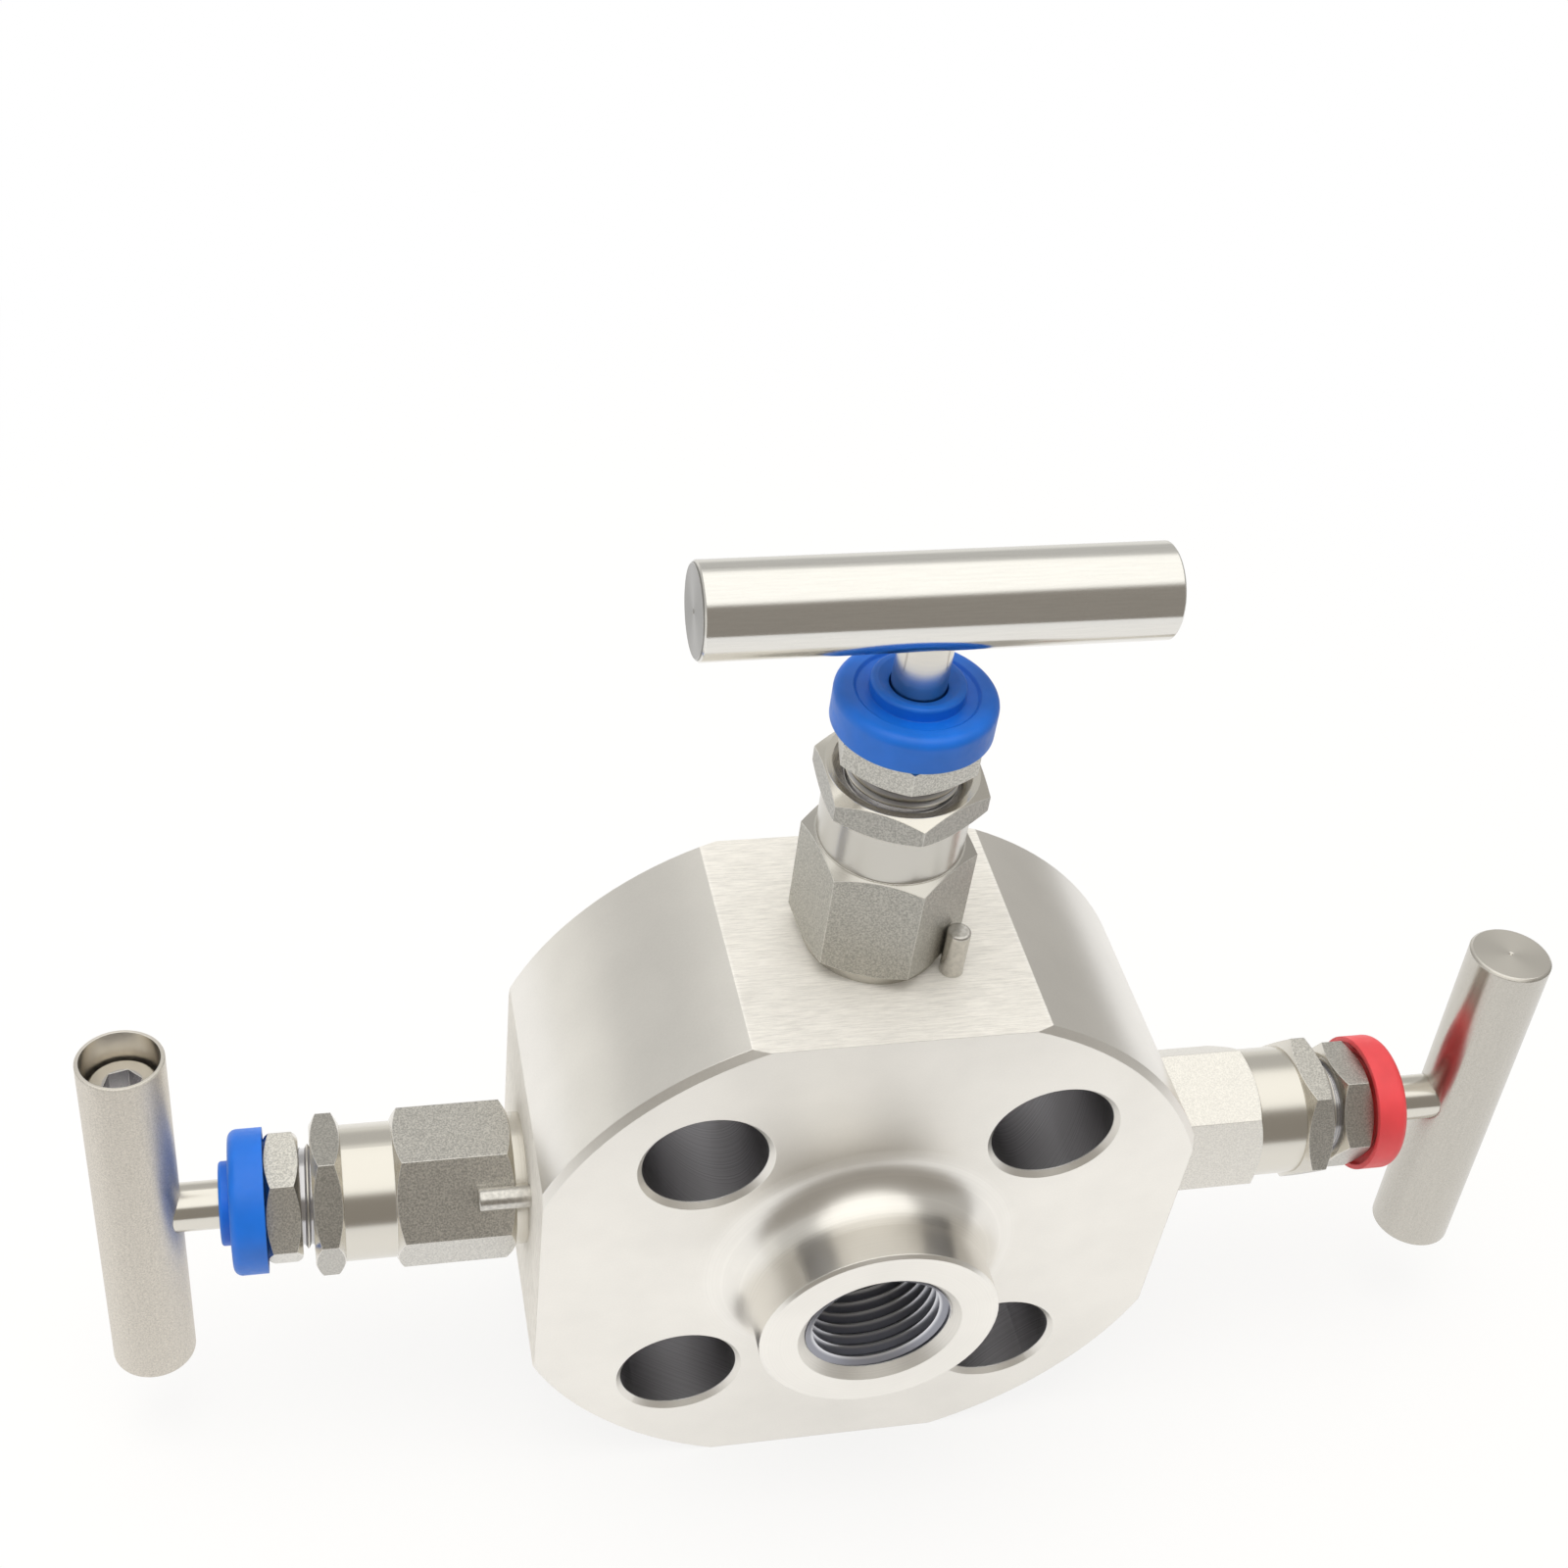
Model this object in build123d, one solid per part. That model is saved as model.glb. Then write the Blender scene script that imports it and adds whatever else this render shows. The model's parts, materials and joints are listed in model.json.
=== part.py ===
from build123d import *
import math
import os

# Flanged double block and bleed manifold with three needle valves, in millimetres and degrees.
#
# Frame: the origin is the centre of the raised sealing face, +Y points into the process pipe,
# +Z is up and the outlet boss points towards -Y. Each valve has a frame of its own, with its
# origin on the flat that it stands on and its z axis pointing outwards along the stem.

# --- Flange block (3/4 inch, class 900/1500 drilling) ---
FLANGE_DIA = 130.0
FLANGE_THICK = 51.0
RIM_CHAMFER = 1.2
FLAT_DISTANCE = 59.6        # flange axis to each of the four flats
RAISED_DIA = 42.9
RAISED_HEIGHT = 7.0
BOLT_CIRCLE = 88.9
BOLT_HOLE_DIA = 22.35
BOLT_COUNT = 4
BOLT_HOLE_CHAMFER = 1.0

# --- Outlet boss, and the pipe threads as plain bores of their major diameter ---
BOSS_DIA = 44.0
BOSS_LENGTH = 16.0
BOSS_FILLET = 9.0
BOSS_CHAMFER = 0.6
OUTLET_DIA = 26.6
OUTLET_DEPTH = 21.0
OUTLET_PILOT = 2.0          # how far the tap drill runs on past the outlet's thread
VENT_DIA = 13.7
VENT_DEPTH = 15.0
PORT_CHAMFER = 1.8
PILOT_STEP = 1.6            # how much smaller in radius the tap drill is than its thread
DRILL_POINT = 118.0         # included angle of a drill's end

# --- Passages ---
INLET_DIA = 10.0
ORIFICE_DIA = 5.0
PASSAGE_DIA = 4.0
PASSAGE_REACH = 18.0        # where the middle passage meets the orifices, from the flange axis
VENT_PILOT_TOP = 22.0       # how far below the flange axis the vent's pilot drill ends

# --- Valve port in the flange ---
FOOT_THREAD_DIA = 20.0
PORT_DEPTH = 15.0
SEAL_THICK = 1.5
CHAMBER_DIA = 11.0
CHAMBER_LENGTH = 5.5
SEAT_ANGLE = 60.0           # included angle of the seat and of the needle's point
SEAT_WIDTH = 0.8            # radial width of the conical seat

# --- Bonnet ---
COLLAR_DIA = 24.5
COLLAR_HEIGHT = 2.3
BONNET_HEX = 26.0           # across flats
BONNET_HEX_LENGTH = 21.7
NECK_DIA = 25.0
NECK_LENGTH = 9.4
HEX_CHAMFER_ANGLE = 30.0
HEX_END_SHARE = 0.98        # diameter of a hexagon's round end faces, over its flats
STEM_THREAD_DIA = 12.0
STEM_THREAD_LENGTH = 12.0
BACK_SEAT_WEB = 3.0
PACKING_DIA = 15.0
PACKING_BORE_LENGTH = 12.0
FOOT_BORE_DIA = 14.0
FOOT_BORE_TOP = -1.0        # where the foot's wide bore ends and the stem thread begins

# --- Lock pin ---
PIN_DIA = 4.2
PIN_STANDS = 9.5
PIN_EDGE = 0.5
PIN_HOLE_DEPTH = 6.0

# --- Lock nut, gland nut and what they press on ---
LOCK_NUT_HEX = 26.0
LOCK_NUT_THICK = 5.5
LOCK_NUT_SINK = 2.0
GLAND_THREAD_DIA = 19.0
GLAND_ROOT_DIA = 17.6       # the shank where its thread shows
GLAND_THREAD_SHOWS = 3.4
GLAND_HEX = 22.0
GLAND_HEX_LENGTH = 6.4
GLAND_CROWN_DIA = 20.5      # round top that the dust cap grips
GLAND_CROWN_LENGTH = 3.7
GLAND_NECK_DEPTH = 5.8      # how far the gland nut's shank reaches into the neck
WASHER_THICK = 1.5
PACKING_LENGTH = 8.0
PACKING_RINGS = 4

# --- Dust cap ---
CAP_DIA = 26.6
CAP_ROOF = 2.6
CAP_EDGE = 1.7
CAP_WALL = 1.0              # of the lip round the open mouth
CAP_MOUTH_DEPTH = 1.3
CAP_RIB_DIA = 20.4
CAP_RIB_HEIGHT = 0.5
CAP_BOSS_DIA = 15.4
CAP_BOSS_HEIGHT = 1.9
CAP_BOSS_EDGE = 0.6
CAP_DISH = 0.8              # depth of the cone from the boss down to the stem's hole
CAP_BORE_GAP = 0.25

# --- Stem, needle and handle ---
STEM_DIA = 9.0
STEM_SHOWS = 7.7            # from the cap's boss to the handle bar, valve shut
STEM_LIFT_GAP = 0.3         # left between the shoulder and the back seat, valve open
STEM_PITCH = 1.5
STEM_TURNS = 2.5
STEM_END_DIA = 11.0
STEM_END_LENGTH = 5.0
SWIVEL_HEAD_DIA = 6.0
SWIVEL_HEAD_LENGTH = 3.0
SWIVEL_NECK_DIA = 3.6
SWIVEL_LIP = 1.5
NEEDLE_DIA = 8.4
NEEDLE_TIP_DIA = 2.0
BAR_DIA = 15.5
BAR_LENGTH = 75.0
BAR_EDGE = 0.5
BAR_WALL = 0.75             # wall left round the counterbore in the bar's open end
BAR_POCKET = 5.5            # from the bar's end to the top of the screw's head
BAR_CENTRE_DIA = 1.0
STEM_FLAT = 0.6             # depth of the flat that the clamp screw bears on
STEM_FLAT_ROOM = 0.4        # how much longer than the screw that flat is

# --- Clamp screw, M8 socket head ---
SCREW_DIA = 8.0
SCREW_HEAD_DIA = 12.6
SCREW_HEAD_LENGTH = 8.0
SCREW_SOCKET = 6.0          # across flats
SCREW_SOCKET_DEPTH = 4.0
SCREW_EDGE = 0.6

# --- Clearances ---
RUN_GAP = 0.05              # radial, between a moving piece and its bore
SEAT_GAP = 0.05             # between fixed pieces, and along a moving piece's shoulders

# --- Working lengths ---
OVERLAP = 0.5               # how far two joined shapes run into each other
OVERCUT = 1.0               # how far a cut starts outside the piece

# --- Heights along a valve, from its flat outwards ---
HEX_BOTTOM = COLLAR_HEIGHT
HEX_TOP = HEX_BOTTOM + BONNET_HEX_LENGTH
NECK_TOP = HEX_TOP + NECK_LENGTH
LOCK_TOP = NECK_TOP + LOCK_NUT_THICK
GLAND_BOTTOM = LOCK_TOP + GLAND_THREAD_SHOWS
GLAND_HEX_TOP = GLAND_BOTTOM + GLAND_HEX_LENGTH
GLAND_TOP = GLAND_HEX_TOP + GLAND_CROWN_LENGTH
CAP_TOP = GLAND_TOP + CAP_ROOF
BOSS_TOP = CAP_TOP + CAP_BOSS_HEIGHT
BAR_HEIGHT = BOSS_TOP + STEM_SHOWS + BAR_DIA / 2

THREAD_TOP = FOOT_BORE_TOP + STEM_THREAD_LENGTH
PACKING_BOTTOM = THREAD_TOP + BACK_SEAT_WEB
PACKING_TOP = PACKING_BOTTOM + PACKING_BORE_LENGTH
GLAND_SHANK_END = NECK_TOP - GLAND_NECK_DEPTH
STEM_LIFT = STEM_PITCH * STEM_TURNS
SHOULDER = THREAD_TOP - STEM_LIFT - STEM_LIFT_GAP

CHAMBER_TOP = -PORT_DEPTH
SEAT_TOP = CHAMBER_TOP - CHAMBER_LENGTH
FOOT_END = CHAMBER_TOP + SEAL_THICK
STEM_END = SHOULDER - STEM_THREAD_LENGTH - STEM_END_LENGTH
SEAT_SLOPE = math.tan(math.radians(SEAT_ANGLE / 2))
SEAT_BOTTOM = SEAT_TOP - SEAT_WIDTH / SEAT_SLOPE

FRONT_FACE = RAISED_HEIGHT + FLANGE_THICK
VALVE_Y = -(RAISED_HEIGHT + FLANGE_THICK / 2)
CHAMBER_PLACE = FLAT_DISTANCE - PORT_DEPTH - CHAMBER_LENGTH / 2
PIN_PLACE = BONNET_HEX / 2 + PIN_DIA / 2 + SEAT_GAP

# Each valve: its frame, how far its hexagons are turned, on which side of the bonnet its pin
# stands and how far along that side, how much further in its gland nut is screwed, which way the
# handle bar's open end points and how much lower the bar sits.
VALVES = {
    "top": {
        "frame": Plane((0, VALVE_Y, FLAT_DISTANCE), x_dir=(1, 0, 0), z_dir=(0, 0, 1)),
        "bonnet_turn": 39.0,
        "lock_turn": 30.0,
        "gland_turn": 18.5,
        "gland_drop": 0.0,
        "pin_side": -51.0,
        "pin_shift": 3.0,
        "bar_turn": 0.0,
        "bar_drop": 0.0,
    },
    "left": {
        "frame": Plane((-FLAT_DISTANCE, VALVE_Y, 0), x_dir=(0, 0, 1), z_dir=(-1, 0, 0)),
        "bonnet_turn": 39.0,
        "lock_turn": 42.0,
        "gland_turn": 31.0,
        "gland_drop": 1.3,
        "pin_side": -51.0,
        "pin_shift": 0.0,
        "bar_turn": 6.0,
        "bar_drop": 2.1,
    },
    "vent": {
        "frame": Plane((FLAT_DISTANCE, VALVE_Y, 0), x_dir=(0, 1, 0), z_dir=(1, 0, 0)),
        "bonnet_turn": 15.0,
        "lock_turn": 4.0,
        "gland_turn": 52.0,
        "gland_drop": 0.5,
        "pin_side": -15.0,
        "pin_shift": 0.0,
        "bar_turn": 265.0,
        "bar_drop": 0.0,
    },
}


def turned(*outline):
    """A turned piece about the z axis, from (radius, height) pairs."""
    profile = make_face(Polyline(*[(r, 0, h) for r, h in outline], close=True))
    return revolve(profile, Axis.Z)


def rod(radius, bottom, top):
    """A plain round bar on the z axis."""
    return Pos(0, 0, bottom) * Cylinder(radius, top - bottom, align=(Align.CENTER, Align.CENTER, Align.MIN))


def drilling(start, end, diameter):
    """A straight hole from one point to another."""
    path = Vector(*end) - Vector(*start)
    return Plane(start, z_dir=path).location * rod(diameter / 2, 0, path.length)


def drill_end(radius):
    """The depth of the cone that a drill leaves."""
    return radius / math.tan(math.radians(DRILL_POINT / 2))


def hexagon(across_flats, bottom, top, turn, low_chamfer=True, high_chamfer=True):
    """A hexagon bar with its corners turned off; the end faces are round, as wide as the flats."""
    corner = across_flats / math.sqrt(3)
    edge = across_flats / 2 * HEX_END_SHARE
    drop = (corner - edge) * math.tan(math.radians(HEX_CHAMFER_ANGLE))
    prism = extrude(RegularPolygon(corner, 6, rotation=turn), top - bottom)
    low = [(edge, bottom), (corner, bottom + drop)] if low_chamfer else [(corner, bottom)]
    high = [(corner, top - drop), (edge, top)] if high_chamfer else [(corner, top)]
    barrel = turned((0, bottom), *low, *high, (0, top))
    return Pos(0, 0, bottom) * prism & barrel


def port_tool():
    """What is cut out of the flange for one valve: thread, chamber, seat and orifice."""
    thread = FOOT_THREAD_DIA / 2 + SEAT_GAP
    orifice = ORIFICE_DIA / 2
    orifice_end = PASSAGE_REACH - FLAT_DISTANCE
    return turned(
        (0, OVERCUT), (thread, OVERCUT), (thread, CHAMBER_TOP), (CHAMBER_DIA / 2, CHAMBER_TOP),
        (CHAMBER_DIA / 2, SEAT_TOP), (orifice + SEAT_WIDTH, SEAT_TOP), (orifice, SEAT_BOTTOM),
        (orifice, orifice_end), (0, orifice_end - drill_end(orifice)))


def threaded_port(diameter, depth, pilot_depth):
    """A pipe port cut into the plane z = 0 from above: chamfer, thread bore and tap drill."""
    thread = diameter / 2
    pilot = thread - PILOT_STEP
    return turned(
        (0, OVERCUT), (thread + PORT_CHAMFER + OVERCUT, OVERCUT), (thread, -PORT_CHAMFER),
        (thread, -depth), (pilot, -depth), (pilot, -pilot_depth), (0, -pilot_depth - drill_end(pilot)))


def flange_body():
    """The forged block with its raised face, outlet boss, bolt holes, ports and passages."""
    rim = FLANGE_DIA / 2
    disc = turned(
        (0, RAISED_HEIGHT), (rim - RIM_CHAMFER, RAISED_HEIGHT), (rim, RAISED_HEIGHT + RIM_CHAMFER),
        (rim, FRONT_FACE - RIM_CHAMFER), (rim - RIM_CHAMFER, FRONT_FACE), (0, FRONT_FACE))
    block = disc & Pos(0, 0, FRONT_FACE / 2) * Box(2 * FLAT_DISTANCE, 2 * FLAT_DISTANCE, FRONT_FACE)
    raised_face = rod(RAISED_DIA / 2, 0, RAISED_HEIGHT)
    boss = rod(BOSS_DIA / 2, FRONT_FACE, FRONT_FACE + BOSS_LENGTH)
    body = block + raised_face + boss

    root = body.edges().filter_by(GeomType.CIRCLE).filter_by(
        lambda e: abs(e.radius - BOSS_DIA / 2) < 0.01 and abs(e.center().Z - FRONT_FACE) < 0.01)
    body = fillet(root, BOSS_FILLET)
    lip = body.edges().filter_by(GeomType.CIRCLE).group_by(Axis.Z)[-1]
    body = chamfer(lip, BOSS_CHAMFER)

    hole = BOLT_HOLE_DIA / 2
    hole_edge = hole + BOLT_HOLE_CHAMFER + OVERCUT
    bolt_hole = turned(
        (0, RAISED_HEIGHT - OVERCUT), (hole_edge, RAISED_HEIGHT - OVERCUT),
        (hole, RAISED_HEIGHT + BOLT_HOLE_CHAMFER), (hole, FRONT_FACE - BOLT_HOLE_CHAMFER),
        (hole_edge, FRONT_FACE + OVERCUT), (0, FRONT_FACE + OVERCUT))
    for place in PolarLocations(BOLT_CIRCLE / 2, BOLT_COUNT, start_angle=180 / BOLT_COUNT):
        body -= place * bolt_hole

    mouth = Pos(0, 0, FRONT_FACE + BOSS_LENGTH)
    body -= mouth * threaded_port(OUTLET_DIA, OUTLET_DEPTH, OUTLET_DEPTH + OUTLET_PILOT)
    body = Plane((0, 0, 0), x_dir=(1, 0, 0), z_dir=(0, -1, 0)).location * body

    vent_frame = Plane((0, VALVE_Y, -FLAT_DISTANCE), x_dir=(1, 0, 0), z_dir=(0, 0, -1))
    vent_pilot = FLAT_DISTANCE - VENT_PILOT_TOP
    body -= vent_frame.location * threaded_port(VENT_DIA, VENT_DEPTH, vent_pilot)
    for valve in VALVES.values():
        body -= valve["frame"].location * port_tool()

    left = (-CHAMBER_PLACE, VALVE_Y, 0)
    right = (CHAMBER_PLACE, VALVE_Y, 0)
    top = (0, VALVE_Y, CHAMBER_PLACE)
    over = (0, VALVE_Y, PASSAGE_REACH)
    beside = (PASSAGE_REACH, VALVE_Y, 0)
    outlet = (0, -(FRONT_FACE + BOSS_LENGTH - OUTLET_DEPTH), OUTLET_DIA / 4)
    vent = (0, VALVE_Y, -VENT_PILOT_TOP)
    for start, end in [(left, over), (over, beside), (top, outlet), (right, vent)]:
        body -= drilling(start, end, PASSAGE_DIA)
    body -= drilling((-PASSAGE_REACH - OVERCUT, VALVE_Y, 0), (0, VALVE_Y, 0), ORIFICE_DIA)
    body -= drilling((0, OVERCUT, 0), (0, VALVE_Y - ORIFICE_DIA / 2, 0), INLET_DIA)
    for valve in VALVES.values():
        body -= valve["frame"].location * pin_place(valve) * rod(PIN_DIA / 2, -PIN_HOLE_DEPTH, OVERCUT)
    return body


def pin_place(valve):
    """Where a lock pin's axis stands, against one side of the bonnet's hexagon."""
    return Rot(0, 0, valve["pin_side"]) * Pos(PIN_PLACE, valve["pin_shift"], 0)


def bonnet(valve):
    """Hexagon bonnet: threaded foot, collar, hexagon, neck, and the bores for stem and packing."""
    foot = FOOT_THREAD_DIA / 2
    shell = (
        rod(foot, FOOT_END, OVERLAP)
        + rod(COLLAR_DIA / 2, 0, HEX_BOTTOM + OVERLAP)
        + hexagon(BONNET_HEX, HEX_BOTTOM, HEX_TOP, valve["bonnet_turn"])
        + rod(NECK_DIA / 2, HEX_TOP - OVERLAP, NECK_TOP))
    stem_hole = STEM_DIA / 2 + RUN_GAP
    thread = STEM_THREAD_DIA / 2
    packing_hole = PACKING_DIA / 2
    gland_hole = GLAND_THREAD_DIA / 2 + SEAT_GAP
    bores = turned(
        (0, FOOT_END - OVERCUT), (FOOT_BORE_DIA / 2, FOOT_END - OVERCUT),
        (FOOT_BORE_DIA / 2, FOOT_BORE_TOP), (thread, FOOT_BORE_TOP), (thread, THREAD_TOP),
        (stem_hole, THREAD_TOP), (stem_hole, PACKING_BOTTOM), (packing_hole, PACKING_BOTTOM),
        (packing_hole, PACKING_TOP), (gland_hole, PACKING_TOP), (gland_hole, NECK_TOP + OVERCUT),
        (0, NECK_TOP + OVERCUT))
    return shell - bores


def bonnet_seal(valve):
    """Flat metal ring between the bonnet's foot and the bottom of its port."""
    outer = FOOT_THREAD_DIA / 2
    inner = FOOT_BORE_DIA / 2
    return turned((inner, CHAMBER_TOP), (outer, CHAMBER_TOP), (outer, FOOT_END), (inner, FOOT_END))


def lock_pin(valve):
    """Dowel with a rounded end that stands against the bonnet's hexagon."""
    pin = rod(PIN_DIA / 2, -PIN_HOLE_DEPTH, PIN_STANDS)
    top = pin.edges().filter_by(GeomType.CIRCLE).group_by(Axis.Z)[-1]
    return pin_place(valve) * fillet(top, PIN_EDGE)


def lock_nut(valve):
    """Nut on the gland nut's thread, with a wide countersink on its outer side."""
    nut = hexagon(LOCK_NUT_HEX, NECK_TOP, LOCK_TOP, valve["lock_turn"])
    hole = GLAND_THREAD_DIA / 2 + SEAT_GAP
    wide = hole + LOCK_NUT_SINK
    return nut - turned(
        (0, NECK_TOP - OVERCUT), (hole, NECK_TOP - OVERCUT), (hole, LOCK_TOP - LOCK_NUT_SINK),
        (wide, LOCK_TOP), (wide, LOCK_TOP + OVERCUT), (0, LOCK_TOP + OVERCUT))


def gland_nut(valve):
    """Packing nut: round crown, hexagon, threaded shank in the bonnet's neck, hole for the stem."""
    shank = GLAND_THREAD_DIA / 2
    root = GLAND_ROOT_DIA / 2
    crown = GLAND_CROWN_DIA / 2
    hole = STEM_DIA / 2 + RUN_GAP
    relief = LOCK_TOP - LOCK_NUT_SINK + valve["gland_drop"]
    core = turned(
        (hole, GLAND_SHANK_END), (shank, GLAND_SHANK_END), (shank, relief), (root, relief),
        (root, GLAND_BOTTOM + OVERLAP), (crown, GLAND_BOTTOM + OVERLAP), (crown, GLAND_TOP),
        (hole, GLAND_TOP))
    head = hexagon(GLAND_HEX, GLAND_BOTTOM, GLAND_HEX_TOP, valve["gland_turn"])
    nut = core + (head - rod(root, GLAND_BOTTOM - OVERCUT, GLAND_HEX_TOP + OVERCUT))
    return Pos(0, 0, -valve["gland_drop"]) * nut


def packing_ring(bottom, top):
    """A ring that fills the packing bore from bottom to top, round the stem."""
    inner = STEM_DIA / 2 + RUN_GAP
    outer = PACKING_DIA / 2 - SEAT_GAP
    return turned((inner, bottom), (outer, bottom), (outer, top), (inner, top))


def packing_washer(valve):
    """Metal washer at the bottom of the packing bore."""
    return packing_ring(PACKING_BOTTOM, PACKING_BOTTOM + WASHER_THICK)


def packing_top(valve):
    """Where the packing ends, pressed down by the gland nut."""
    return PACKING_BOTTOM + WASHER_THICK + PACKING_LENGTH - valve["gland_drop"]


def packing(valve):
    """Soft packing rings, stacked."""
    bottom = PACKING_BOTTOM + WASHER_THICK
    pitch = (packing_top(valve) - bottom) / PACKING_RINGS
    rings = [
        packing_ring(bottom + i * pitch, bottom + (i + 1) * pitch - SEAT_GAP)
        for i in range(PACKING_RINGS)]
    return Compound(rings)


def gland_ring(valve):
    """Metal ring between the packing and the gland nut's shank."""
    return packing_ring(packing_top(valve), GLAND_SHANK_END - valve["gland_drop"])


def dust_cap(valve):
    """Moulded plastic cap over the gland nut's crown, with a dished boss round the stem."""
    outer = CAP_DIA / 2
    mouth = outer - CAP_WALL
    mouth_end = GLAND_HEX_TOP + CAP_MOUTH_DEPTH
    grip = GLAND_CROWN_DIA / 2 + SEAT_GAP
    rib = CAP_RIB_DIA / 2
    groove = CAP_TOP - CAP_RIB_HEIGHT
    boss = CAP_BOSS_DIA / 2
    hole = STEM_DIA / 2 + CAP_BORE_GAP
    cap = turned(
        (mouth, GLAND_HEX_TOP), (outer, GLAND_HEX_TOP), (outer, CAP_TOP), (rib, CAP_TOP),
        (rib - CAP_RIB_HEIGHT, groove), (boss, groove), (boss, BOSS_TOP),
        (boss - CAP_BOSS_EDGE * 2, BOSS_TOP), (hole, BOSS_TOP - CAP_DISH), (hole, GLAND_TOP),
        (grip, GLAND_TOP), (grip, mouth_end), (mouth, mouth_end))

    def ring(radius, height):
        return cap.edges().filter_by(GeomType.CIRCLE).filter_by(
            lambda e: abs(e.radius - radius) < 0.01 and abs(e.center().Z - height) < 0.01)

    cap = fillet(ring(outer, CAP_TOP), CAP_EDGE)
    cap = fillet(ring(boss, BOSS_TOP), CAP_BOSS_EDGE)
    return Pos(0, 0, -valve["gland_drop"]) * cap


def bar_height(valve):
    """How high the handle bar's axis stands, valve shut."""
    return BAR_HEIGHT - valve["bar_drop"]


def stem(valve):
    """Threaded spindle with a back-seat shoulder, a swivel socket below and a flat for the screw."""
    radius = STEM_DIA / 2
    thread = STEM_THREAD_DIA / 2 - RUN_GAP
    end = STEM_END_DIA / 2
    head = SWIVEL_HEAD_DIA / 2 + RUN_GAP
    neck = SWIVEL_NECK_DIA / 2 + RUN_GAP
    thread_bottom = SHOULDER - STEM_THREAD_LENGTH
    socket_bottom = STEM_END + SWIVEL_LIP
    socket_top = socket_bottom + SWIVEL_HEAD_LENGTH + 2 * SEAT_GAP
    top = bar_height(valve) + radius
    spindle = turned(
        (neck, STEM_END), (end, STEM_END), (end, thread_bottom), (thread, thread_bottom),
        (thread, SHOULDER), (radius, SHOULDER), (radius, top), (0, top), (0, socket_top),
        (head, socket_top), (head, socket_bottom), (neck, socket_bottom))
    flat = Pos(radius - STEM_FLAT, 0, bar_height(valve)) * Box(
        radius, STEM_DIA, SCREW_DIA + STEM_FLAT_ROOM, align=(Align.MIN, Align.CENTER, Align.CENTER))
    return spindle - Rot(0, 0, valve["bar_turn"]) * flat


def needle(valve):
    """Tip that does not turn: a head held in the stem's socket and a cone for the seat."""
    head = SWIVEL_HEAD_DIA / 2
    neck = SWIVEL_NECK_DIA / 2
    radius = NEEDLE_DIA / 2
    tip = NEEDLE_TIP_DIA / 2
    shoulder = STEM_END - SEAT_GAP
    head_bottom = STEM_END + SWIVEL_LIP + SEAT_GAP
    cone_foot = SEAT_BOTTOM + 2 * SEAT_GAP
    cone_top = cone_foot + (radius - ORIFICE_DIA / 2) / SEAT_SLOPE
    cone_end = cone_foot - (ORIFICE_DIA / 2 - tip) / SEAT_SLOPE
    return turned(
        (0, cone_end), (tip, cone_end), (radius, cone_top), (radius, shoulder), (neck, shoulder),
        (neck, head_bottom), (head, head_bottom), (head, head_bottom + SWIVEL_HEAD_LENGTH),
        (0, head_bottom + SWIVEL_HEAD_LENGTH))


def along_bar(valve):
    """The bar's own frame: z runs from the stem's axis to the bar's open end."""
    turn = math.radians(valve["bar_turn"])
    way = (math.cos(turn), math.sin(turn), 0)
    return Plane((0, 0, bar_height(valve)), x_dir=(0, 0, 1), z_dir=way).location


def tee_bar(valve):
    """Handle bar: blind cross hole for the stem, counterbore and tapped hole for the clamp screw."""
    radius = BAR_DIA / 2
    half = BAR_LENGTH / 2
    pocket = radius - BAR_WALL
    seat = half - BAR_POCKET - SCREW_HEAD_LENGTH - SEAT_GAP
    bar = turned(
        (0, -half + BAR_CENTRE_DIA / 2), (BAR_CENTRE_DIA / 2, -half), (radius - BAR_EDGE, -half),
        (radius, -half + BAR_EDGE), (radius, half - BAR_EDGE / 2), (radius - BAR_EDGE / 2, half),
        (pocket, half), (pocket, seat), (SCREW_DIA / 2 + SEAT_GAP, seat),
        (SCREW_DIA / 2 + SEAT_GAP, 0), (0, 0))
    cross_hole = rod(STEM_DIA / 2 + SEAT_GAP, -BAR_DIA, STEM_DIA / 2 + SEAT_GAP)
    return along_bar(valve) * bar - Pos(0, 0, bar_height(valve)) * cross_hole


def clamp_screw(valve):
    """Socket-head screw in the bar's open end, its tip on the stem's flat."""
    top = BAR_LENGTH / 2 - BAR_POCKET
    seat = top - SCREW_HEAD_LENGTH
    tip = STEM_DIA / 2 - STEM_FLAT
    shank = SCREW_DIA / 2
    head = SCREW_HEAD_DIA / 2
    screw = turned(
        (0, tip), (shank - SCREW_EDGE, tip), (shank, tip + SCREW_EDGE), (shank, seat), (head, seat),
        (head, top - SCREW_EDGE), (head - SCREW_EDGE, top), (0, top))
    corner = SCREW_SOCKET / math.sqrt(3)
    socket = extrude(RegularPolygon(corner, 6, rotation=15), SCREW_SOCKET_DEPTH + OVERCUT)
    return along_bar(valve) * (screw - Pos(0, 0, top - SCREW_SOCKET_DEPTH) * socket)


VALVE_PIECES = [
    bonnet, bonnet_seal, lock_pin, lock_nut, gland_nut, packing_washer, packing, gland_ring,
    dust_cap, stem, needle, tee_bar, clamp_screw]


def main():
    os.makedirs("parts", exist_ok=True)
    export_step(flange_body(), "parts/flange_body.step")
    for name, valve in VALVES.items():
        for piece in VALVE_PIECES:
            shape = valve["frame"].location * piece(valve)
            export_step(shape, f"parts/{name}_{piece.__name__}.step")


main()
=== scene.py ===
"""Finishes, threads and a small studio for a flanged double block and bleed manifold.

Everything is in metres in the manifold's own frame: the origin is the centre of the raised sealing
face, +Y points into the process pipe, +Z is up, and the outlet boss points towards -Y.
"""

import json
import math

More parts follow.
